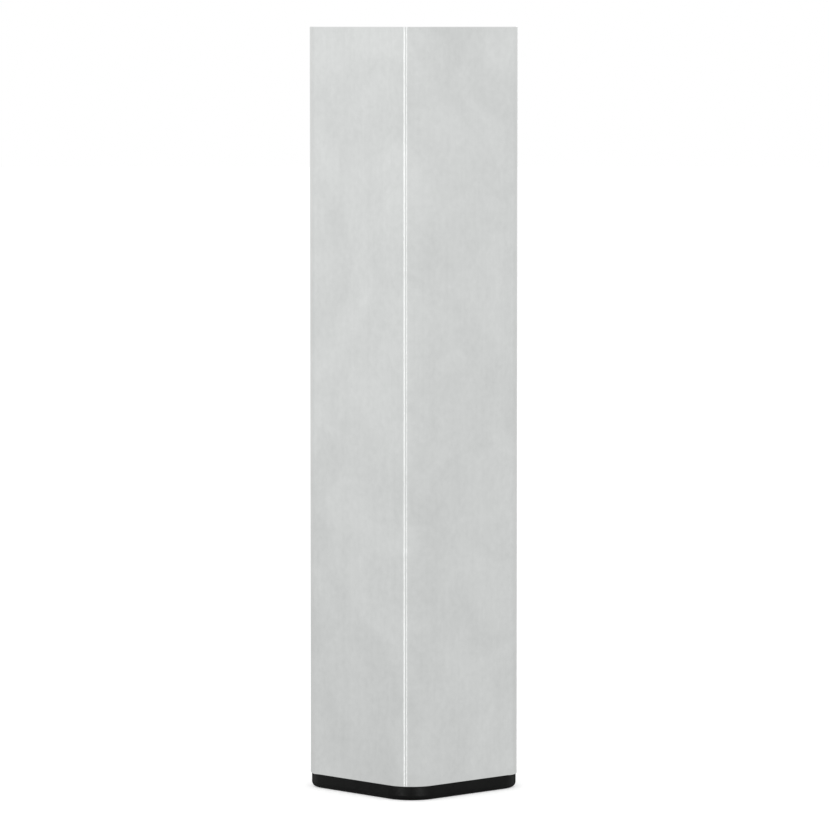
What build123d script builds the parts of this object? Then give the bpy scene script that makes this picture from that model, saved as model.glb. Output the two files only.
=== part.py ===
from build123d import *
from math import atan2, cos, degrees, radians, tan
import os

# A square furniture foot: an anodised aluminium tube that stands on a black push-in
# foot cap. A ribbed insert with a captive M8 nut closes the upper end, and the bolt
# that holds the foot under the furniture screws into that nut.
# Millimetres, Z up, origin on the floor at the middle of the foot.

# Leg tube: square extrusion with rounded corners, sawn square at both ends
foot_height = 200.0         # floor to the tube's upper end
tube_side = 43.0            # outside, across the flats
tube_wall = 2.0
tube_corner_radius = 7.7    # outside corners
end_chamfer = 0.15          # deburring of the sawn edges, inside and outside

# Foot cap: the head that shows under the tube
cap_head_height = 3.6
cap_head_inset = 0.05       # how far the head's sides lie inside the tube's faces
cap_corner_extra = 0.6      # its corners are rounder than the tube's by this
cap_edge_radius = 1.3       # rounded lower edge
cap_sole = 2.4              # thickness left under the hollow shank
gate_diameter = 5.0         # moulding gate mark, sunk in the sole
gate_depth = 0.4

# Top insert: a plate inside the bore, just below the tube's sawn end
insert_recess = 0.5
insert_plate = 3.0
insert_clearance = 0.1      # each side, between the plate and the bore
insert_plate_chamfer = 0.4
bolt_hole_diameter = 8.5
bolt_hole_chamfer = 0.6

# Ribbed shank that grips the bore, the same on the foot cap and the top insert
shank_length = 18.0
shank_wall = 1.6
shank_lead_in = 0.6         # chamfer at the shank's free end
least_inner_radius = 0.5    # the tightest corner that the mould allows inside
fin_count = 4
fin_reach = 1.8             # from the shank's core to the bore
fin_clearance = 0.05        # between the fins' tips and the bore
fin_land = 0.4              # straight part of a fin's edge
fin_back = 1.1              # sloped part, towards the shank's free end
fin_first = 2.0             # from the head to the first fin
fin_slit_width = 5.0        # the fins are slit at the corners so that they can bend
web_thickness = 1.5         # crossed walls inside the shank
web_setback = 2.0           # from the shank's free end

# Captive hexagon nut, M8, and the boss that holds it
nut_across_flats = 13.0
nut_height = 6.8
nut_bore_diameter = 6.8
nut_thread_diameter = 8.0
nut_bore_chamfer_extra = 0.2    # the bore's chamfers end this much outside the thread
nut_face_diameter = 11.6        # flat bearing face, inside the corners' chamfers
nut_corner_chamfer_angle = 30.0
nut_clearance = 0.05            # each side, in its pocket
boss_wall = 2.5
boss_overrun = 2.0              # how far the boss runs on past the nut

# Sizes that follow from the ones above
bore_side = tube_side - 2 * tube_wall
bore_corner_radius = max(tube_corner_radius - tube_wall, least_inner_radius)
core_side = bore_side - 2 * fin_reach
core_corner_radius = max(bore_corner_radius - fin_reach, least_inner_radius)
fin_tip_side = bore_side - 2 * fin_clearance
fin_tip_radius = bore_corner_radius - fin_clearance
fin_back_slope = degrees(atan2(fin_reach, fin_back))
fin_pitch = (shank_length - fin_first) / fin_count
hollow_side = core_side - 2 * shank_wall
hollow_corner_radius = max(core_corner_radius - shank_wall, least_inner_radius)
web_span = core_side - shank_wall
cap_head_side = tube_side - 2 * cap_head_inset
cap_corner_radius = tube_corner_radius + cap_corner_extra
cap_hollow_floor = cap_head_height - cap_sole
plate_side = bore_side - 2 * insert_clearance
plate_corner_radius = bore_corner_radius - insert_clearance
plate_top = foot_height - insert_recess
plate_underside = plate_top - insert_plate
nut_across_corners = nut_across_flats / cos(radians(30))
nut_corner_drop = (nut_across_corners - nut_face_diameter) / 2 * tan(radians(nut_corner_chamfer_angle))
nut_bore_chamfer = (nut_thread_diameter - nut_bore_diameter) / 2 + nut_bore_chamfer_extra
nut_underside = plate_underside - nut_height
pocket_across_flats = nut_across_flats + 2 * nut_clearance
boss_diameter = nut_across_corners + 2 * (nut_clearance + boss_wall)
boss_length = nut_height + boss_overrun

# A shank grows along its plane's normal, away from the head that carries it
cap_shank_base = Plane.XY.offset(cap_head_height)
insert_shank_base = Plane(origin=(0, 0, plate_underside), x_dir=(1, 0, 0), z_dir=(0, 0, -1))


def add_fins(base):
    """Barbed fins across the whole shank, slit at the corners outside its core."""
    for fin in range(fin_count):
        fin_base = base.offset(fin_first + fin * fin_pitch)
        with BuildSketch(fin_base) as land:
            RectangleRounded(fin_tip_side, fin_tip_side, fin_tip_radius)
        extrude(land.sketch, amount=fin_land)
        with BuildSketch(fin_base.offset(fin_land)) as back:
            RectangleRounded(fin_tip_side, fin_tip_side, fin_tip_radius)
        extrude(back.sketch, amount=fin_back, taper=fin_back_slope)
    with BuildSketch(base) as slits:
        with PolarLocations(core_side / 2, 4, start_angle=45):
            Rectangle(bore_side, fin_slit_width, align=(Align.MIN, Align.CENTER))
        RectangleRounded(core_side, core_side, core_corner_radius, mode=Mode.SUBTRACT)
    extrude(slits.sketch, amount=shank_length, mode=Mode.SUBTRACT)


def add_shank(base, hollow_start):
    """A ribbed shank on the plane: fins, hollow core with a lead-in, and crossed walls."""
    add_fins(base)
    with BuildSketch(base) as core:
        RectangleRounded(core_side, core_side, core_corner_radius)
    extrude(core.sketch, amount=shank_length)
    free_end = faces().sort_by(Axis(base.origin, base.z_dir))[-1]
    chamfer(free_end.outer_wire().edges(), length=shank_lead_in)
    with BuildSketch(base.offset(-hollow_start)) as hollow:
        RectangleRounded(hollow_side, hollow_side, hollow_corner_radius)
    extrude(hollow.sketch, amount=shank_length + hollow_start, mode=Mode.SUBTRACT)
    with BuildSketch(base.offset(-hollow_start)) as web:
        Rectangle(web_span, web_thickness)
        Rectangle(web_thickness, web_span)
    extrude(web.sketch, amount=shank_length + hollow_start - web_setback)


# Leg tube
with BuildPart() as leg_tube:
    with BuildSketch(cap_shank_base):
        RectangleRounded(tube_side, tube_side, tube_corner_radius)
        RectangleRounded(bore_side, bore_side, bore_corner_radius, mode=Mode.SUBTRACT)
    extrude(amount=foot_height - cap_head_height)
    sawn_ends = leg_tube.faces().filter_by(Axis.Z)
    chamfer(sawn_ends.edges(), length=end_chamfer)
leg_tube.part.label = "leg_tube"

# Foot cap
with BuildPart() as foot_cap:
    with BuildSketch():
        RectangleRounded(cap_head_side, cap_head_side, cap_corner_radius)
    extrude(amount=cap_head_height)
    sole_face = foot_cap.faces().sort_by(Axis.Z)[0]
    fillet(sole_face.edges(), radius=cap_edge_radius)
    add_shank(cap_shank_base, cap_hollow_floor)
    with BuildSketch():
        Circle(gate_diameter / 2)
    extrude(amount=gate_depth, mode=Mode.SUBTRACT)
foot_cap.part.label = "foot_cap"

# Top insert
with BuildPart() as top_insert:
    with BuildSketch(Plane.XY.offset(plate_underside)):
        RectangleRounded(plate_side, plate_side, plate_corner_radius)
    extrude(amount=insert_plate)
    plate_face = top_insert.faces().sort_by(Axis.Z)[-1]
    chamfer(plate_face.edges(), length=insert_plate_chamfer)
    add_shank(insert_shank_base, 0)
    with BuildSketch(insert_shank_base):
        Circle(boss_diameter / 2)
    extrude(amount=boss_length)
    with BuildSketch(insert_shank_base):
        RegularPolygon(pocket_across_flats / 2, 6, major_radius=False)
    extrude(amount=shank_length, mode=Mode.SUBTRACT)
    with Locations((0, 0, plate_top)):
        Hole(radius=bolt_hole_diameter / 2, depth=insert_plate)
    hole_mouth = top_insert.edges().filter_by(GeomType.CIRCLE).filter_by(
        lambda edge: abs(edge.center().Z - plate_top) < bolt_hole_chamfer
    )
    chamfer(hole_mouth.filter_by(lambda edge: edge.is_closed), length=bolt_hole_chamfer)
top_insert.part.label = "top_insert"

# Captive nut, against the underside of the insert's plate
with BuildPart() as captive_nut:
    with BuildSketch(Plane.XY.offset(nut_underside)):
        RegularPolygon(nut_across_flats / 2, 6, major_radius=False)
    extrude(amount=nut_height)
    with BuildSketch(Plane.XZ):
        with BuildLine():
            Polyline(
                (0, nut_underside),
                (nut_face_diameter / 2, nut_underside),
                (nut_across_corners / 2, nut_underside + nut_corner_drop),
                (nut_across_corners / 2, plate_underside - nut_corner_drop),
                (nut_face_diameter / 2, plate_underside),
                (0, plate_underside),
                close=True,
            )
        make_face()
    revolve(axis=Axis.Z, mode=Mode.INTERSECT)
    with Locations((0, 0, plate_underside)):
        Hole(radius=nut_bore_diameter / 2, depth=nut_height)
    bore_mouths = captive_nut.edges().filter_by(GeomType.CIRCLE).group_by(SortBy.RADIUS)[0]
    chamfer(bore_mouths, length=nut_bore_chamfer)
captive_nut.part.label = "captive_nut"

os.makedirs("parts", exist_ok=True)
export_step(leg_tube.part, "parts/leg_tube.step")
export_step(foot_cap.part, "parts/foot_cap.step")
export_step(top_insert.part, "parts/top_insert.step")
export_step(captive_nut.part, "parts/captive_nut.step")
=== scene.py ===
"""Looks of a square furniture foot: a satin aluminium tube on a black push-in foot cap."""

import logging
import math
from dataclasses import dataclass, field
from enum import Enum
from typing import Any

import bpy
import bmesh
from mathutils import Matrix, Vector


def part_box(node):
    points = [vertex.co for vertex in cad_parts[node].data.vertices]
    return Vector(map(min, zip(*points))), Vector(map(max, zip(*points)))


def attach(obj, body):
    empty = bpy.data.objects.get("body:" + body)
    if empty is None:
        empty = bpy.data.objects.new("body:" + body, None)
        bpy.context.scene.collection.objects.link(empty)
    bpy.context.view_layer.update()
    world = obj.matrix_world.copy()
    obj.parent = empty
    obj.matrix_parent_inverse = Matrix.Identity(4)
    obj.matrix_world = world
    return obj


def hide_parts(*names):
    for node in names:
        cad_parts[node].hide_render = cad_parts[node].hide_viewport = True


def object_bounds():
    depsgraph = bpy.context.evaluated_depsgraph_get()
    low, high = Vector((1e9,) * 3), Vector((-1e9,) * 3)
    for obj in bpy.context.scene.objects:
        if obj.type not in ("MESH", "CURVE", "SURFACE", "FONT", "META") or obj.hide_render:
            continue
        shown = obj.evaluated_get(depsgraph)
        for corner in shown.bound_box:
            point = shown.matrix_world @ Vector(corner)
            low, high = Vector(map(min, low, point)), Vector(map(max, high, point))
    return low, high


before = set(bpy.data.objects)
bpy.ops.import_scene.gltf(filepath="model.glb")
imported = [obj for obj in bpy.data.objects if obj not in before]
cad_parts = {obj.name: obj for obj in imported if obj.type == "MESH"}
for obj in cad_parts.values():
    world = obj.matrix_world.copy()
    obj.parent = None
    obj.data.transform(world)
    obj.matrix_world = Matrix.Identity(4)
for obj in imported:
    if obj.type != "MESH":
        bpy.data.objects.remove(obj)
CAD_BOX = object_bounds()

BODY = "root"
MM = 0.001
FULL_TURN = 2.0 * math.pi
MERGE_DISTANCE = 0.0001 * MM
# Blender's wave texture turns its phase by this much for each unit of distance times scale
WAVE_PHASE_PER_UNIT = 20.0
# The range that nearly all of a noise texture's values lie in
NOISE_SPAN = (0.3, 0.7)

Colour = tuple[float, float, float]
Place = tuple[float, float, float]
Span = tuple[float, float]
Socket = bpy.types.NodeSocket

log = logging.getLogger("furniture_foot")


class Slot(Enum):
    """The record's material slots."""

    ALUMINIUM = "satin_aluminium"
    PLASTIC = "black_plastic"
    STEEL = "zinc_plated_steel"


class Node(Enum):
    """The CAD nodes."""

    TUBE = "leg_tube"
    CAP = "foot_cap"
    INSERT = "top_insert"
    NUT = "captive_nut"


class Kind(Enum):
    """Kinds of group socket."""

    FLOAT = "NodeSocketFloat"
    INT = "NodeSocketInt"
    VECTOR = "NodeSocketVector"
    GEOMETRY = "NodeSocketGeometry"
    MATERIAL = "NodeSocketMaterial"


class Sheet:
    """A node tree with short calls for adding and joining its nodes."""

    def __init__(self, tree: bpy.types.NodeTree) -> None:
        """Starts from an empty tree.

        Args:
            tree: the tree to fill; nodes that it already has are removed.
        """
        self.tree = tree
        tree.nodes.clear()

    def add(self, kind: str, settings: dict[str, Any] | None = None, **inputs: Any) -> bpy.types.Node:
        """Adds a node.

        Args:
            kind: the node's type name.
            settings: values of the node's own properties.
            inputs: a value or a socket for each named input; underscores stand for spaces.

        Returns:
            The new node.
        """
        node = self.tree.nodes.new(kind)
        for name, value in (settings or {}).items():
            setattr(node, name, value)
        for name, value in inputs.items():
            self.feed(node.inputs[name.replace("_", " ")], value)
        return node

    def feed(self, target: Socket, value: Any) -> None:
        """Links a socket to an input, or writes a plain value on it.

        Args:
            target: the input.
            value: an output socket or a value.
        """
        if isinstance(value, Socket):
            self.tree.links.new(value, target)
        else:
            target.default_value = value

    def math(self, operation: str, *values: Any) -> Socket:
        """Adds a Math node.

        Args:
            operation: the Math node's operation.
            values: its inputs in order.

        Returns:
            The result socket.
        """
        node = self.add("ShaderNodeMath", {"operation": operation})
        for target, value in zip(node.inputs, values):
            self.feed(target, value)
        return node.outputs[0]

    def span(self, value: Any, low: float, high: float, to_low: Any, to_high: Any) -> Socket:
        """Maps a value from one range to another, clamped at the ends.

        Args:
            value: the value to map.
            low: start of the range that it comes from.
            high: end of that range.
            to_low: result at the start.
            to_high: result at the end.

        Returns:
            The result socket.
        """
        node = self.add("ShaderNodeMapRange")
        for target, part in zip(node.inputs, (value, low, high, to_low, to_high)):
            self.feed(target, part)
        return node.outputs[0]


def new_group(name: str, kind: str, inputs: list[tuple[str, Kind, Any]],
              outputs: list[tuple[str, Kind]]) -> tuple[Sheet, bpy.types.Node, bpy.types.Node]:
    """Makes an empty node group with its interface.

    Args:
        name: the group's name.
        kind: ShaderNodeTree or GeometryNodeTree.
        inputs: name, kind and default of each input.
        outputs: name and kind of each output.

    Returns:
        The sheet, the group input node and the group output node.
    """
    tree = bpy.data.node_groups.new(name, kind)
    sheet = Sheet(tree)
    for label, socket_kind, default in inputs:
        socket = tree.interface.new_socket(label, in_out="INPUT", socket_type=socket_kind.value)
        if default is not None:
            socket.default_value = default
    for label, socket_kind in outputs:
        tree.interface.new_socket(label, in_out="OUTPUT", socket_type=socket_kind.value)
    return sheet, sheet.add("NodeGroupInput"), sheet.add("NodeGroupOutput")


def grain_group() -> bpy.types.NodeTree:
    """Long fine lines along Z, as an extrusion die and the brushing leave them.

    Returns:
        A group with Lines, the fine grain, and Bands, its broad slow unevenness.
    """
    sheet, given, result = new_group(
        "extrusion_grain", "ShaderNodeTree",
        [("Vector", Kind.VECTOR, None), ("Lines per Metre", Kind.FLOAT, 2500.0),
         ("Line Length", Kind.FLOAT, 0.05)],
        [("Lines", Kind.FLOAT), ("Bands", Kind.FLOAT)],
    )
    band_share, band_length_share = 0.16, 0.5
    parts = sheet.add("ShaderNodeSeparateXYZ", Vector=given.outputs["Vector"])
    drawn_out = sheet.math("DIVIDE", parts.outputs["Z"], given.outputs["Line Length"])
    across = given.outputs["Lines per Metre"]
    fine = sheet.add(
        "ShaderNodeCombineXYZ",
        X=sheet.math("MULTIPLY", parts.outputs["X"], across),
        Y=sheet.math("MULTIPLY", parts.outputs["Y"], across),
        Z=drawn_out,
    )
    lines = sheet.add("ShaderNodeTexNoise", Vector=fine.outputs[0], Scale=1.0, Detail=3.0, Roughness=0.6)
    broad = sheet.add("ShaderNodeVectorMath", {"operation": "MULTIPLY"})
    sheet.feed(broad.inputs[0], fine.outputs[0])
    sheet.feed(broad.inputs[1], (band_share, band_share, band_length_share))
    bands = sheet.add("ShaderNodeTexNoise", Vector=broad.outputs[0], Scale=1.0, Detail=1.0, Roughness=0.5)
    sheet.feed(result.inputs["Lines"], lines.outputs[0])
    sheet.feed(result.inputs["Bands"], bands.outputs[0])
    return sheet.tree


def cloud_group() -> bpy.types.NodeTree:
    """Soft cloudy patches, a little longer along Z than across.

    Returns:
        A group with Cloud, from 0 to 1, and Fleck, a finer mottle.
    """
    sheet, given, result = new_group(
        "cloudy_tone", "ShaderNodeTree",
        [("Vector", Kind.VECTOR, None), ("Patches per Metre", Kind.FLOAT, 60.0),
         ("Stretch", Kind.FLOAT, 2.0)],
        [("Cloud", Kind.FLOAT), ("Fleck", Kind.FLOAT)],
    )
    flecks_per_patch = 9.0
    parts = sheet.add("ShaderNodeSeparateXYZ", Vector=given.outputs["Vector"])
    per_metre = given.outputs["Patches per Metre"]
    slower = sheet.math("DIVIDE", per_metre, given.outputs["Stretch"])
    place = sheet.add(
        "ShaderNodeCombineXYZ",
        X=sheet.math("MULTIPLY", parts.outputs["X"], per_metre),
        Y=sheet.math("MULTIPLY", parts.outputs["Y"], per_metre),
        Z=sheet.math("MULTIPLY", parts.outputs["Z"], slower),
    )
    cloud = sheet.add("ShaderNodeTexNoise", Vector=place.outputs[0], Scale=1.0, Detail=3.0,
                      Roughness=0.55, Distortion=0.6)
    fleck = sheet.add("ShaderNodeTexNoise", Vector=place.outputs[0], Scale=flecks_per_patch, Detail=2.0,
                      Roughness=0.6)
    sheet.feed(result.inputs["Cloud"], sheet.span(cloud.outputs[0], *NOISE_SPAN, 0.0, 1.0))
    sheet.feed(result.inputs["Fleck"], fleck.outputs[0])
    return sheet.tree


def end_face_group() -> bpy.types.NodeTree:
    """Marks faces by how far they turn up or down, for sawn ends and their broken edges.

    Returns:
        A group with End, 1 on level faces, and Edge, 1 on sloped ones between.
    """
    sheet, _, result = new_group(
        "end_faces", "ShaderNodeTree", [], [("End", Kind.FLOAT), ("Edge", Kind.FLOAT)],
    )
    least_level, least_slope = 0.9, 0.3
    normal = sheet.add("ShaderNodeTexCoord").outputs["Normal"]
    parts = sheet.add("ShaderNodeSeparateXYZ", Vector=normal)
    turn = sheet.math("ABSOLUTE", parts.outputs["Z"])
    end = sheet.math("GREATER_THAN", turn, least_level)
    sloped = sheet.math("GREATER_THAN", turn, least_slope)
    sheet.feed(result.inputs["End"], end)
    sheet.feed(result.inputs["Edge"], sheet.math("SUBTRACT", sloped, end))
    return sheet.tree


@dataclass(frozen=True)
class SatinAluminium:
    """Anodised aluminium, brushed fine along the extrusion, with bare sawn ends."""

    dark: Colour = (0.557, 0.569, 0.563)
    light: Colour = (0.702, 0.716, 0.709)
    sawn_dark: Colour = (0.56, 0.56, 0.57)
    sawn_light: Colour = (0.72, 0.72, 0.72)
    broken_edge: Colour = (0.92, 0.92, 0.92)
    cloud_share: float = 0.40
    fleck_share: float = 0.50
    band_share: float = 0.18
    line_share: float = 0.20
    patches_per_metre: float = 62.0
    patch_stretch: float = 1.05
    lines_per_metre: float = 2600.0
    line_length: float = 0.09
    line_depth: float = 0.0025 * MM
    roughness: Span = (0.085, 0.115)
    sawn_roughness: float = 0.42
    saw_lines_per_metre: float = 2400.0
    saw_line_depth: float = 0.012 * MM
    saw_centre: Place = (-0.11, -0.07, 0.0)
    saw_waver: float = 3.0
    saw_waver_scale: float = 0.6

    def build(self) -> bpy.types.Material:
        """Builds the material, with its grain and clouds in groups.

        Returns:
            The material.
        """
        material, sheet, shader = start_material(Slot.ALUMINIUM.value)
        place = sheet.add("ShaderNodeTexCoord").outputs["Object"]
        grain = add_group(sheet, "extrusion_grain", Vector=place, Lines_per_Metre=self.lines_per_metre,
                          Line_Length=self.line_length)
        cloud = add_group(sheet, "cloudy_tone", Vector=place, Patches_per_Metre=self.patches_per_metre,
                          Stretch=self.patch_stretch)
        ends = add_group(sheet, "end_faces")

        tone = sheet.math("MULTIPLY", cloud.outputs["Cloud"], self.cloud_share)
        tone = sheet.math("MULTIPLY_ADD", cloud.outputs["Fleck"], self.fleck_share, tone)
        tone = sheet.math("MULTIPLY_ADD", grain.outputs["Bands"], self.band_share, tone)
        tone = sheet.math("MULTIPLY_ADD", grain.outputs["Lines"], self.line_share, tone)
        face = mix_colour(sheet, tone, self.dark, self.light)
        saw = sheet.add("ShaderNodeTexWave", {"wave_type": "RINGS", "rings_direction": "Z"},
                        Vector=measured_from(sheet, place, self.saw_centre),
                        Scale=self.saw_lines_per_metre * FULL_TURN / WAVE_PHASE_PER_UNIT,
                        Distortion=self.saw_waver, Detail=3.0, Detail_Scale=self.saw_waver_scale)
        sawn = mix_colour(sheet, saw.outputs["Fac"], self.sawn_dark, self.sawn_light)
        bare = mix_colour(sheet, ends.outputs["Edge"], sawn, self.broken_edge)
        cut = sheet.math("ADD", ends.outputs["End"], ends.outputs["Edge"])
        sheet.feed(shader.inputs["Base Color"], mix_colour(sheet, cut, face, bare))

        satin = sheet.span(grain.outputs["Bands"], *NOISE_SPAN, *self.roughness)
        rough = mix_value(sheet, ends.outputs["End"], satin, self.sawn_roughness)
        sheet.feed(shader.inputs["Roughness"], rough)

        lines = sheet.math("MULTIPLY", grain.outputs["Lines"], self.line_depth)
        saw_lines = sheet.math("MULTIPLY", saw.outputs["Fac"], self.saw_line_depth)
        relief = mix_value(sheet, ends.outputs["End"], lines, saw_lines)
        bump = sheet.add("ShaderNodeBump", Strength=1.0, Distance=1.0, Height=relief)
        sheet.feed(shader.inputs["Normal"], bump.outputs[0])
        shader.inputs["Metallic"].default_value = 1.0
        return material


@dataclass(frozen=True)
class BlackPlastic:
    """Black moulded plastic with a fine matte grain."""

    dark: Colour = (0.0060, 0.0062, 0.0060)
    light: Colour = (0.0092, 0.0094, 0.0092)
    specular: float = 0.05
    roughness: Span = (0.27, 0.43)
    rim_roughness: float = 0.9
    rim_span: Span = (0.5, 0.9)
    patches_per_metre: float = 180.0
    patch_stretch: float = 0.7
    grains_per_metre: float = 2600.0
    grain_depth: float = 0.02 * MM
    grain_strength: float = 0.6

    def build(self) -> bpy.types.Material:
        """Builds the material.

        Returns:
            The material.
        """
        material, sheet, shader = start_material(Slot.PLASTIC.value)
        place = sheet.add("ShaderNodeTexCoord").outputs["Object"]
        cloud = add_group(sheet, "cloudy_tone", Vector=place, Patches_per_Metre=self.patches_per_metre,
                          Stretch=self.patch_stretch)
        tone = mix_colour(sheet, cloud.outputs["Cloud"], self.dark, self.light)
        sheet.feed(shader.inputs["Base Color"], tone)
        rough = sheet.span(cloud.outputs["Fleck"], *NOISE_SPAN, *self.roughness)
        rim = sheet.span(sheet.add("ShaderNodeLayerWeight").outputs["Facing"], *self.rim_span, 0.0, 1.0)
        sheet.feed(shader.inputs["Roughness"], mix_value(sheet, rim, rough, self.rim_roughness))
        leather = sheet.add("ShaderNodeTexVoronoi", {"feature": "SMOOTH_F1"}, Vector=place,
                            Scale=self.grains_per_metre)
        bump = sheet.add("ShaderNodeBump", Strength=self.grain_strength, Distance=self.grain_depth,
                         Height=leather.outputs["Distance"])
        sheet.feed(shader.inputs["Normal"], bump.outputs[0])
        shader.inputs["Specular IOR Level"].default_value = self.specular
        return material


@dataclass(frozen=True)
class ZincPlatedSteel:
    """Bright zinc plate on a cold-formed steel nut."""

    dark: Colour = (0.50, 0.52, 0.54)
    light: Colour = (0.66, 0.68, 0.70)
    roughness: Span = (0.28, 0.40)
    patches_per_metre: float = 420.0
    patch_stretch: float = 1.0

    def build(self) -> bpy.types.Material:
        """Builds the material.

        Returns:
            The material.
        """
        material, sheet, shader = start_material(Slot.STEEL.value)
        place = sheet.add("ShaderNodeTexCoord").outputs["Object"]
        cloud = add_group(sheet, "cloudy_tone", Vector=place, Patches_per_Metre=self.patches_per_metre,
                          Stretch=self.patch_stretch)
        tone = mix_colour(sheet, cloud.outputs["Cloud"], self.dark, self.light)
        sheet.feed(shader.inputs["Base Color"], tone)
        rough = sheet.span(cloud.outputs["Fleck"], *NOISE_SPAN, *self.roughness)
        sheet.feed(shader.inputs["Roughness"], rough)
        shader.inputs["Metallic"].default_value = 1.0
        return material


def start_material(name: str) -> tuple[bpy.types.Material, Sheet, bpy.types.Node]:
    """Starts a node material.

    Args:
        name: the material's name.

    Returns:
        The material, its sheet and its Principled shader, already joined to the output.
    """
    material = bpy.data.materials.new(name)
    material.use_nodes = True
    sheet = Sheet(material.node_tree)
    shader = sheet.add("ShaderNodeBsdfPrincipled")
    sheet.add("ShaderNodeOutputMaterial", Surface=shader.outputs[0])
    return material, sheet, shader


def add_group(sheet: Sheet, name: str, **inputs: Any) -> bpy.types.Node:
    """Places a shader group in a material.

    Args:
        sheet: the material's sheet.
        name: the group's name.
        inputs: a value or a socket for each named input; underscores stand for spaces.

    Returns:
        The group node.
    """
    return sheet.add("ShaderNodeGroup", {"node_tree": bpy.data.node_groups[name]}, **inputs)


def mix_colour(sheet: Sheet, factor: Any, first: Any, second: Any) -> Socket:
    """Mixes two colours.

    Args:
        sheet: the sheet to add to.
        factor: 0 for the first, 1 for the second.
        first: a colour or a socket.
        second: a colour or a socket.

    Returns:
        The result socket.
    """
    node = sheet.add("ShaderNodeMix", {"data_type": "RGBA"})
    colours = [part if isinstance(part, Socket) else (*part, 1.0) for part in (first, second)]
    for target, value in zip((node.inputs[0], node.inputs[6], node.inputs[7]), (factor, *colours)):
        sheet.feed(target, value)
    return node.outputs[2]


def mix_value(sheet: Sheet, factor: Any, first: Any, second: Any) -> Socket:
    """Mixes two numbers.

    Args:
        sheet: the sheet to add to.
        factor: 0 for the first, 1 for the second.
        first: a number or a socket.
        second: a number or a socket.

    Returns:
        The result socket.
    """
    node = sheet.add("ShaderNodeMix", {"data_type": "FLOAT"})
    for target, value in zip((node.inputs[0], node.inputs[2], node.inputs[3]), (factor, first, second)):
        sheet.feed(target, value)
    return node.outputs[0]


def measured_from(sheet: Sheet, place: Socket, centre: Place) -> Socket:
    """Measures places from another centre than the origin.

    Args:
        sheet: the sheet to add to.
        place: the coordinates.
        centre: the new centre, in metres.

    Returns:
        The coordinates from that centre.
    """
    node = sheet.add("ShaderNodeVectorMath", {"operation": "SUBTRACT"})
    sheet.feed(node.inputs[0], place)
    sheet.feed(node.inputs[1], centre)
    return node.outputs[0]


def swept_tube_tree() -> bpy.types.NodeTree:
    """The tube as its wall's section swept round a square with rounded corners.

    Returns:
        The geometry tree.
    """
    sheet, given, result = new_group(
        "swept_tube", "GeometryNodeTree",
        [("Geometry", Kind.GEOMETRY, None), ("Side", Kind.FLOAT, 0.04), ("Wall", Kind.FLOAT, 0.002),
         ("Corner Radius", Kind.FLOAT, 0.006), ("Length", Kind.FLOAT, 0.2),
         ("Middle Height", Kind.FLOAT, 0.1), ("Edge Break", Kind.FLOAT, 0.0003),
         ("Corner Steps", Kind.INT, 24), ("Material", Kind.MATERIAL, None)],
        [("Geometry", Kind.GEOMETRY)],
    )
    wall = given.outputs["Wall"]
    centre_side = sheet.math("SUBTRACT", given.outputs["Side"], wall)
    centre_radius = sheet.math("MULTIPLY_ADD", wall, -0.5, given.outputs["Corner Radius"])
    square = sheet.add("GeometryNodeCurvePrimitiveQuadrilateral", Width=centre_side, Height=centre_side)
    path = sheet.add("GeometryNodeFilletCurve", {"mode": "POLY"}, Curve=square.outputs[0],
                     Radius=centre_radius, Count=given.outputs["Corner Steps"])
    lift = sheet.add("ShaderNodeCombineXYZ", Z=given.outputs["Middle Height"])
    raised = sheet.add("GeometryNodeTransform", Geometry=path.outputs[0], Translation=lift.outputs[0])
    section = sheet.add("GeometryNodeCurvePrimitiveQuadrilateral", Width=wall,
                        Height=given.outputs["Length"])
    broken = sheet.add("GeometryNodeFilletCurve", {"mode": "POLY"}, Curve=section.outputs[0],
                       Radius=given.outputs["Edge Break"], Count=1)
    swept = sheet.add("GeometryNodeCurveToMesh", Curve=raised.outputs[0], Profile_Curve=broken.outputs[0])
    finish_tree(sheet, given, result, swept.outputs[0])
    return sheet.tree


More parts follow.
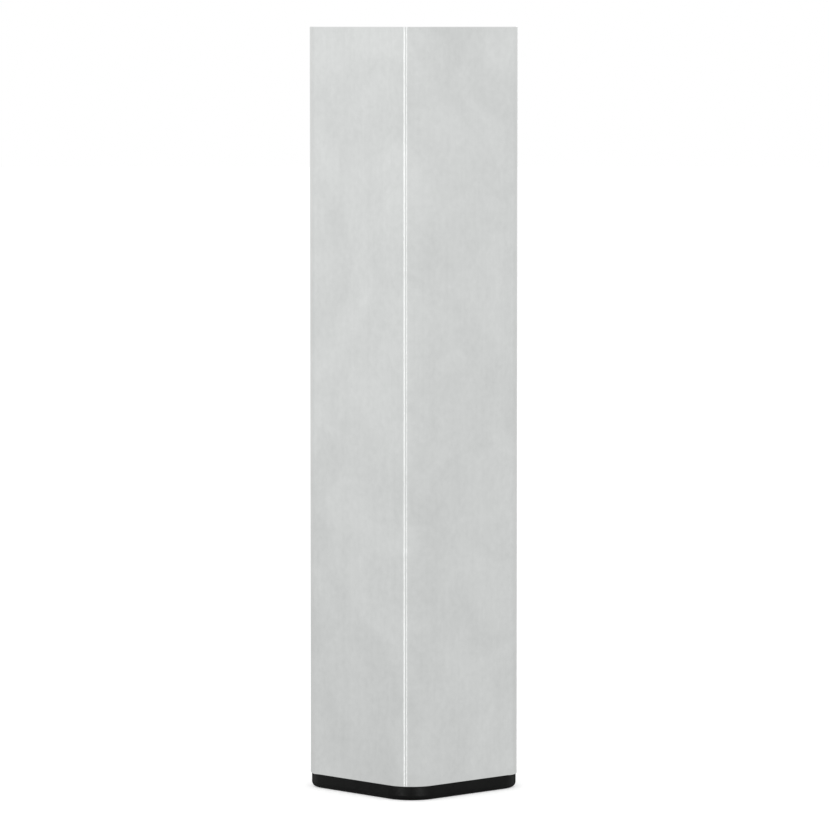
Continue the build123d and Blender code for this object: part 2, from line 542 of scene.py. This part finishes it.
def thread_tree() -> bpy.types.NodeTree:
    """An inner screw thread: a ridge that winds up the wall of a bore.

    Returns:
        The geometry tree.
    """
    sheet, given, result = new_group(
        "inner_thread", "GeometryNodeTree",
        [("Geometry", Kind.GEOMETRY, None), ("Wall Radius", Kind.FLOAT, 0.004),
         ("Crest Radius", Kind.FLOAT, 0.0034), ("Pitch", Kind.FLOAT, 0.00125),
         ("Height", Kind.FLOAT, 0.005), ("Base Height", Kind.FLOAT, 0.19),
         ("Steps per Turn", Kind.INT, 48), ("Material", Kind.MATERIAL, None)],
        [("Geometry", Kind.GEOMETRY)],
    )
    height, pitch = given.outputs["Height"], given.outputs["Pitch"]
    wall, crest = given.outputs["Wall Radius"], given.outputs["Crest Radius"]
    middle = sheet.math("MULTIPLY", sheet.math("ADD", wall, crest), 0.5)
    helix = sheet.add("GeometryNodeCurveSpiral", Resolution=given.outputs["Steps per Turn"],
                      Rotations=sheet.math("DIVIDE", height, pitch), Start_Radius=middle,
                      End_Radius=middle, Height=height)
    lift = sheet.add("ShaderNodeCombineXYZ", Z=given.outputs["Base Height"])
    raised = sheet.add("GeometryNodeTransform", Geometry=helix.outputs[0], Translation=lift.outputs[0])
    root_share, crest_share, quarter_turn = 0.86, 0.25, (0.0, 0.0, math.pi / 2.0)
    ridge = sheet.add("GeometryNodeCurvePrimitiveQuadrilateral", {"mode": "TRAPEZOID"},
                      Bottom_Width=sheet.math("MULTIPLY", pitch, root_share),
                      Top_Width=sheet.math("MULTIPLY", pitch, crest_share),
                      Height=sheet.math("SUBTRACT", wall, crest), Offset=0.0)
    turned = sheet.add("GeometryNodeTransform", Geometry=ridge.outputs[0], Rotation=quarter_turn)
    wound = sheet.add("GeometryNodeCurveToMesh", Curve=raised.outputs[0], Profile_Curve=turned.outputs[0])
    wound.inputs["Fill Caps"].default_value = True
    finish_tree(sheet, given, result, wound.outputs[0])
    return sheet.tree


def finish_tree(sheet: Sheet, given: bpy.types.Node, result: bpy.types.Node, shape: Socket) -> None:
    """Ends a geometry tree with Realize Instances and Set Material.

    Args:
        sheet: the tree's sheet.
        given: its group input.
        result: its group output.
        shape: the geometry made so far.
    """
    real = sheet.add("GeometryNodeRealizeInstances", Geometry=shape)
    dressed = sheet.add("GeometryNodeSetMaterial", Geometry=real.outputs[0],
                        Material=given.outputs["Material"])
    sheet.feed(result.inputs["Geometry"], dressed.outputs[0])


def grow(name: str, tree: bpy.types.NodeTree, values: dict[str, Any]) -> bpy.types.Object:
    """Runs a geometry tree and keeps its result as a plain mesh object.

    Args:
        name: the new object's name.
        tree: the geometry tree.
        values: a value for each named input.

    Returns:
        The object, at the origin, with its place in its mesh.
    """
    seed = bpy.data.objects.new(name + "_seed", bpy.data.meshes.new(name + "_seed"))
    bpy.context.scene.collection.objects.link(seed)
    modifier = seed.modifiers.new("grow", "NODES")
    modifier.node_group = tree
    inputs = {item.name: item.identifier for item in tree.interface.items_tree if item.in_out == "INPUT"}
    for label, value in values.items():
        modifier[inputs[label]] = value
    bpy.context.view_layer.update()
    evaluated = seed.evaluated_get(bpy.context.evaluated_depsgraph_get())
    mesh = bpy.data.meshes.new_from_object(evaluated)
    seed.modifiers.remove(modifier)
    bpy.data.objects.remove(seed)
    mesh.name = name
    grown = bpy.data.objects.new(name, mesh)
    bpy.context.scene.collection.objects.link(grown)
    return grown


def tidy_mesh(mesh: bpy.types.Mesh, sharp_angle: float) -> None:
    """Merges doubles, points the faces outwards and shades smooth up to an angle.

    Args:
        mesh: the mesh to tidy.
        sharp_angle: edges that turn by more than this, in radians, stay crisp.
    """
    work = bmesh.new()
    work.from_mesh(mesh)
    bmesh.ops.remove_doubles(work, verts=work.verts, dist=MERGE_DISTANCE)
    bmesh.ops.recalc_face_normals(work, faces=work.faces)
    for face in work.faces:
        face.smooth = True
    work.to_mesh(mesh)
    work.free()
    mesh.set_sharp_from_angle(angle=sharp_angle)


@dataclass
class LegTube:
    """The extruded tube. Its sizes come from the CAD node, but for those that its box can't give."""

    wall: float = 2.0 * MM
    corner_radius: float = 7.7 * MM
    edge_break: float = 0.15 * MM
    corner_steps: int = 40
    sharp_angle: float = math.radians(20.0)

    def build(self, material: bpy.types.Material) -> bpy.types.Object:
        """Sweeps the tube and puts it in place of its CAD node.

        Args:
            material: its finish.

        Returns:
            The finished piece.
        """
        low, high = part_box(Node.TUBE.value)
        tube = grow("aluminium_tube", swept_tube_tree(), {
            "Side": high.x - low.x,
            "Wall": self.wall,
            "Corner Radius": self.corner_radius,
            "Length": high.z - low.z,
            "Middle Height": (high.z + low.z) / 2.0,
            "Edge Break": self.edge_break,
            "Corner Steps": self.corner_steps,
            "Material": material,
        })
        tidy_mesh(tube.data, self.sharp_angle)
        return fit_in_place(tube, Node.TUBE)


@dataclass
class CaptiveNut:
    """The hexagon nut, with its thread cut into the bore's wall."""

    crest_radius: float = 3.4 * MM
    wall_radius: float = 4.0 * MM
    pitch: float = 1.25 * MM
    bore_chamfer: float = 0.8 * MM
    bore_margin: float = 0.07 * MM
    steps_per_turn: int = 48
    sharp_angle: float = math.radians(25.0)

    def build(self, material: bpy.types.Material) -> bpy.types.Object:
        """Opens the nut's bore to the thread's outer radius and winds the thread into it.

        Args:
            material: its finish.

        Returns:
            The finished piece.
        """
        low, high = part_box(Node.NUT.value)
        body = self.opened_body(material)
        thread = grow("thread_turns", thread_tree(), {
            "Wall Radius": self.wall_radius,
            "Crest Radius": self.crest_radius,
            "Pitch": self.pitch,
            "Height": high.z - low.z - 2.0 * self.bore_chamfer,
            "Base Height": low.z + self.bore_chamfer,
            "Steps per Turn": self.steps_per_turn,
            "Material": material,
        })
        nut = join("threaded_nut", [body, thread])
        tidy_mesh(nut.data, self.sharp_angle)
        return fit_in_place(nut, Node.NUT)

    def opened_body(self, material: bpy.types.Material) -> bpy.types.Object:
        """Copies the nut and widens its plain bore.

        Args:
            material: its finish.

        Returns:
            The nut without its thread.
        """
        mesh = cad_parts[Node.NUT.value].data.copy()
        mesh.materials.clear()
        mesh.materials.append(material)
        within = self.crest_radius + self.bore_margin
        for vertex in mesh.vertices:
            radius = math.hypot(vertex.co.x, vertex.co.y)
            if radius < within:
                vertex.co.x *= self.wall_radius / radius
                vertex.co.y *= self.wall_radius / radius
        body = bpy.data.objects.new("nut_body", mesh)
        bpy.context.scene.collection.objects.link(body)
        return body


def join(name: str, pieces: list[bpy.types.Object]) -> bpy.types.Object:
    """Joins pieces into one object.

    Args:
        name: the new object's name.
        pieces: the pieces, which are removed.

    Returns:
        The joined object.
    """
    work = bmesh.new()
    for piece in pieces:
        work.from_mesh(piece.data)
    mesh = bpy.data.meshes.new(name)
    work.to_mesh(mesh)
    work.free()
    mesh.materials.append(pieces[0].data.materials[0])
    for piece in pieces:
        bpy.data.objects.remove(piece)
    joined = bpy.data.objects.new(name, mesh)
    bpy.context.scene.collection.objects.link(joined)
    return joined


def fit_in_place(piece: bpy.types.Object, node: Node) -> bpy.types.Object:
    """Makes a piece ride on the body and stand for its CAD node.

    Args:
        piece: the finished piece.
        node: the CAD node that it replaces.

    Returns:
        The piece.
    """
    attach(piece, BODY)
    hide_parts(node.value)
    return piece


@dataclass
class MouldedPart:
    """A moulded plastic part, which keeps its CAD shape and gets its finish."""

    node: Node

    def build(self, material: bpy.types.Material) -> bpy.types.Object:
        """Dresses the CAD node.

        Args:
            material: its finish.

        Returns:
            The node's object.
        """
        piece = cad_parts[self.node.value]
        for slot in piece.material_slots:
            slot.material = material
        return piece


def outwards(azimuth: float) -> Vector:
    """Gives the level direction away from the foot at an azimuth in degrees."""
    turn = math.radians(azimuth)
    return Vector((math.sin(turn), -math.cos(turn), 0.0))


@dataclass(frozen=True)
class StripLight:
    """A tall narrow light far off, which shows as one bright line on a rounded corner.

    The azimuth and the width are in degrees round the foot, and a radiance of 1 is white.
    """

    azimuth: float
    width: float
    radiance: float

    def glow(self, sheet: Sheet, turn: Socket) -> Socket:
        """Adds the light's radiance by direction.

        Args:
            sheet: the world's sheet.
            turn: the direction's azimuth in radians.

        Returns:
            The radiance, 0 beside the light.
        """
        off_middle = sheet.math("ABSOLUTE", sheet.math("SUBTRACT", turn, math.radians(self.azimuth)))
        inside = sheet.math("LESS_THAN", off_middle, math.radians(self.width) / 2.0)
        return sheet.math("MULTIPLY", inside, self.radiance)


@dataclass(frozen=True)
class MirroredRoom:
    """What the foot's metal mirrors: an even pale room with a darker floor and a few strip lights.

    The room darkens below the horizon, is dimmed round one azimuth, and is a little lighter towards
    another and darker on the side across from it. Azimuths are in degrees round the foot, and heights
    are sines of the direction's angle above the horizon.
    """

    strips: tuple[StripLight, ...] = (
        StripLight(azimuth=-71.5, width=1.7, radiance=1.45),
        StripLight(azimuth=-62.1, width=1.1, radiance=1.45),
        StripLight(azimuth=120.0, width=3.0, radiance=1.0),
    )
    strip_end: float = 0.75
    walls: float = 1.008
    floor_drop: float = 0.12
    floor_drop_height: float = 0.127
    floor_drop_most: float = 1.25
    floor_drop_curve: float = 1.4
    dim_azimuth: float = 136.75
    dim_by: float = 0.12
    dim_span: Span = (0.3, 0.9)
    side_azimuth: float = -136.6
    side_lift: float = 0.028
    side_lift_below: float = -0.009
    side_heights: Span = (-0.13, -0.06)

    def radiance(self, sheet: Sheet) -> Socket:
        """Adds the room's radiance by direction.

        Args:
            sheet: the world's sheet.

        Returns:
            The radiance.
        """
        direction = sheet.add("ShaderNodeTexCoord").outputs["Generated"]
        parts = sheet.add("ShaderNodeSeparateXYZ", Vector=direction)
        height = parts.outputs["Z"]
        below = sheet.span(height, -self.floor_drop_height * self.floor_drop_most, 0.0,
                           self.floor_drop_most, 0.0)
        drop = sheet.math("MULTIPLY", sheet.math("POWER", below, self.floor_drop_curve), self.floor_drop)
        room = sheet.math("SUBTRACT", self.walls, drop)
        dim = sheet.span(self.facing(sheet, direction, self.dim_azimuth), *self.dim_span, 0.0, self.dim_by)
        room = sheet.math("SUBTRACT", room, dim)
        lift = sheet.span(height, *self.side_heights, self.side_lift_below, self.side_lift)
        room = sheet.math("MULTIPLY_ADD", self.facing(sheet, direction, self.side_azimuth), lift, room)
        turn = sheet.math("ARCTAN2", parts.outputs["X"], sheet.math("MULTIPLY", parts.outputs["Y"], -1.0))
        between_ends = sheet.math("LESS_THAN", sheet.math("ABSOLUTE", height), self.strip_end)
        for strip in self.strips:
            room = sheet.math("MULTIPLY_ADD", strip.glow(sheet, turn), between_ends, room)
        return room

    @staticmethod
    def facing(sheet: Sheet, direction: Socket, azimuth: float) -> Socket:
        """Adds how far a direction points towards one side of the room.

        Args:
            sheet: the world's sheet.
            direction: the direction.
            azimuth: the side's azimuth in degrees.

        Returns:
            The cosine of the angle between the two.
        """
        product = sheet.add("ShaderNodeVectorMath", {"operation": "DOT_PRODUCT"})
        sheet.feed(product.inputs[0], direction)
        sheet.feed(product.inputs[1], outwards(azimuth))
        return product.outputs["Value"]


@dataclass
class Stage:
    """Pale floor, even surroundings, one large softbox and a pair of tall ones for the cap's corner.

    Azimuths are in degrees round the foot, and a radiance of 1 is white.
    """

    room: MirroredRoom = field(default_factory=MirroredRoom)
    backdrop: float = 1.0
    ambient: float = 0.85
    key_place: Vector = field(default_factory=lambda: Vector((-1.3, -1.1, 1.7)))
    key_aim: Vector = field(default_factory=lambda: Vector((0.0, 0.0, 0.1)))
    key_size: float = 2.2
    key_radiance: float = 0.45
    glint_azimuths: tuple[float, ...] = (-80.0, -13.0)
    glint_distance: float = 1.2
    glint_width: float = 0.20
    glint_height: float = 1.0
    glint_radiance: float = 48.0
    floor_radius: float = 6.0
    floor_segments: int = 64
    floor_gap: float = 0.02 * MM
    floor_colour: Colour = (0.80, 0.80, 0.80)
    floor_glow: float = 0.43
    contact_reach: Span = (0.026, 0.042)
    opening_share: float = 0.93
    opening_squareness: float = 5.0

    def build(self) -> None:
        """Makes the floor, the world and the lamps."""
        self.build_floor()
        self.build_world()
        self.build_key_lamp()
        self.build_glint_lamps()

    def floor_mesh(self) -> bpy.types.Mesh:
        """Makes a wide disc with an opening under the sole, so that light reaches the sole from below.

        Returns:
            The mesh, facing up.
        """
        work = bmesh.new()
        bmesh.ops.create_circle(work, segments=self.floor_segments, radius=self.floor_radius)
        half_side = CAD_BOX[1][0] * self.opening_share
        power = self.opening_squareness
        opening = bmesh.ops.create_circle(work, segments=self.floor_segments, radius=half_side)
        for vertex in opening["verts"]:
            across, along = abs(vertex.co.x) / half_side, abs(vertex.co.y) / half_side
            vertex.co *= (across ** power + along ** power) ** (-1.0 / power)
        bmesh.ops.bridge_loops(work, edges=work.edges)
        for face in work.faces:
            face.normal_update()
            if face.normal.z < 0.0:
                face.normal_flip()
        for vertex in work.verts:
            vertex.co.z = -self.floor_gap
        mesh = bpy.data.meshes.new("floor")
        work.to_mesh(mesh)
        work.free()
        return mesh

    def build_floor(self) -> None:
        """Makes the floor: white to the camera with the foot's shadow, and clear from below.

        In mirrors it is clear too, so that they show the room, except close round the foot.
        """
        floor = bpy.data.objects.new("floor", self.floor_mesh())
        bpy.context.scene.collection.objects.link(floor)
        material, sheet, shader = start_material("pale_floor")
        shader.inputs["Base Color"].default_value = (*self.floor_colour, 1.0)
        shader.inputs["Roughness"].default_value = 1.0
        shader.inputs["Specular IOR Level"].default_value = 0.0
        shader.inputs["Emission Color"].default_value = (1.0, 1.0, 1.0, 1.0)
        path = sheet.add("ShaderNodeLightPath")
        sheet.feed(shader.inputs["Emission Strength"],
                   sheet.math("MULTIPLY", path.outputs["Is Camera Ray"], self.floor_glow))
        mirrored = sheet.math("MAXIMUM", path.outputs["Is Glossy Ray"], path.outputs["Is Transmission Ray"])
        away = sheet.add("ShaderNodeVectorMath", {"operation": "LENGTH"})
        sheet.feed(away.inputs[0], sheet.add("ShaderNodeTexCoord").outputs["Object"])
        beyond_contact = sheet.span(away.outputs["Value"], *self.contact_reach, 0.0, 1.0)
        clear = sheet.math("MULTIPLY", mirrored, beyond_contact)
        from_below = sheet.add("ShaderNodeNewGeometry").outputs["Backfacing"]
        surface = sheet.add("ShaderNodeMixShader", Fac=sheet.math("MAXIMUM", clear, from_below))
        sheet.feed(surface.inputs[1], shader.outputs[0])
        sheet.feed(surface.inputs[2], sheet.add("ShaderNodeBsdfTransparent").outputs[0])
        output = material.node_tree.get_output_node("ALL")
        sheet.feed(output.inputs["Surface"], surface.outputs[0])
        floor.data.materials.append(material)

    def build_world(self) -> None:
        """Makes the surroundings: white to the camera, the room in mirrors, softer as light."""
        world = bpy.data.worlds.new("even_studio")
        world.use_nodes = True
        sheet = Sheet(world.node_tree)
        path = sheet.add("ShaderNodeLightPath")
        mirrored = sheet.math("MAXIMUM", path.outputs["Is Glossy Ray"], path.outputs["Is Transmission Ray"])
        strength = mix_value(sheet, mirrored, self.ambient, self.room.radiance(sheet))
        strength = mix_value(sheet, path.outputs["Is Camera Ray"], strength, self.backdrop)
        light = sheet.add("ShaderNodeBackground", Color=(1.0, 1.0, 1.0, 1.0), Strength=strength)
        sheet.add("ShaderNodeOutputWorld", Surface=light.outputs[0])
        bpy.context.scene.world = world

    def build_key_lamp(self) -> None:
        """Makes the square softbox up to the left of the camera, which the metal doesn't mirror."""
        lamp = add_softbox("key_softbox", self.key_place, self.key_aim, self.key_size, self.key_size,
                           self.key_radiance)
        lamp.visible_glossy = False

    def build_glint_lamps(self) -> None:
        """Makes the tall softboxes that draw soft lines on the cap's corner and light nothing else."""
        cap_only = bpy.data.collections.new("cap_only")
        cap_only.objects.link(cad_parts[Node.CAP.value])
        middle = Vector((0.0, 0.0, self.glint_height / 2.0))
        for azimuth in self.glint_azimuths:
            lamp = add_softbox("glint_softbox", middle + outwards(azimuth) * self.glint_distance, middle,
                               self.glint_width, self.glint_height, self.glint_radiance)
            lamp.visible_camera = False
            lamp.visible_diffuse = False
            lamp.light_linking.receiver_collection = cap_only


def add_softbox(name: str, at: Vector, aim: Vector, width: float, height: float,
                radiance: float) -> bpy.types.Object:
    """Adds an even rectangular lamp.

    Args:
        name: the lamp's name.
        at: the middle of the lamp, in metres.
        aim: the point that it faces.
        width: its width in metres.
        height: its height in metres.
        radiance: how bright its face is, where 1 is white.

    Returns:
        The lamp.
    """
    data = bpy.data.lights.new(name, "AREA")
    data.shape = "RECTANGLE"
    data.size = width
    data.size_y = height
    data.energy = radiance * math.pi * width * height
    lamp = bpy.data.objects.new(name, data)
    lamp.location = at
    lamp.rotation_euler = (aim - at).to_track_quat("-Z", "Y").to_euler()
    bpy.context.scene.collection.objects.link(lamp)
    return lamp


@dataclass
class Camera:
    """The photograph's view: corner on, level with the foot's upper end, looking a little down."""

    azimuth: float = -43.25
    distance: float = 1.348
    aim_right: float = 0.19 * MM
    pitch: float = 4.313
    lens: float = 223.45
    sensor: float = 36.0
    reach: float = 50.0

    def build(self) -> None:
        """Makes the camera and sets it as the scene's own."""
        top = CAD_BOX[1][2]
        back = outwards(self.azimuth)
        right = Vector((-back.y, back.x, 0.0))
        at = back * self.distance + right * self.aim_right + Vector((0.0, 0.0, top))
        drop = self.distance * math.tan(math.radians(self.pitch))
        target = right * self.aim_right + Vector((0.0, 0.0, top - drop))
        data = bpy.data.cameras.new("camera")
        data.lens = self.lens
        data.sensor_width = self.sensor
        data.clip_end = self.reach
        camera = bpy.data.objects.new("camera", data)
        camera.location = at
        camera.rotation_euler = (target - at).to_track_quat("-Z", "Y").to_euler()
        bpy.context.scene.collection.objects.link(camera)
        bpy.context.scene.camera = camera


def main() -> None:
    """Builds the foot's pieces in order and reports each one."""
    logging.basicConfig(level=logging.INFO, format="%(message)s")
    bpy.context.scene.view_settings.view_transform = "Standard"
    for make in (grain_group, cloud_group, end_face_group):
        make()
    aluminium = SatinAluminium().build()
    plastic = BlackPlastic().build()
    steel = ZincPlatedSteel().build()
    Camera().build()
    Stage().build()
    pieces = [
        LegTube().build(aluminium),
        MouldedPart(Node.CAP).build(plastic),
        MouldedPart(Node.INSERT).build(plastic),
        CaptiveNut().build(steel),
    ]
    for piece in pieces:
        mesh = piece.data
        log.info("%s: %d vertices, %d faces", piece.name, len(mesh.vertices), len(mesh.polygons))


if __name__ == "__main__":
    main()
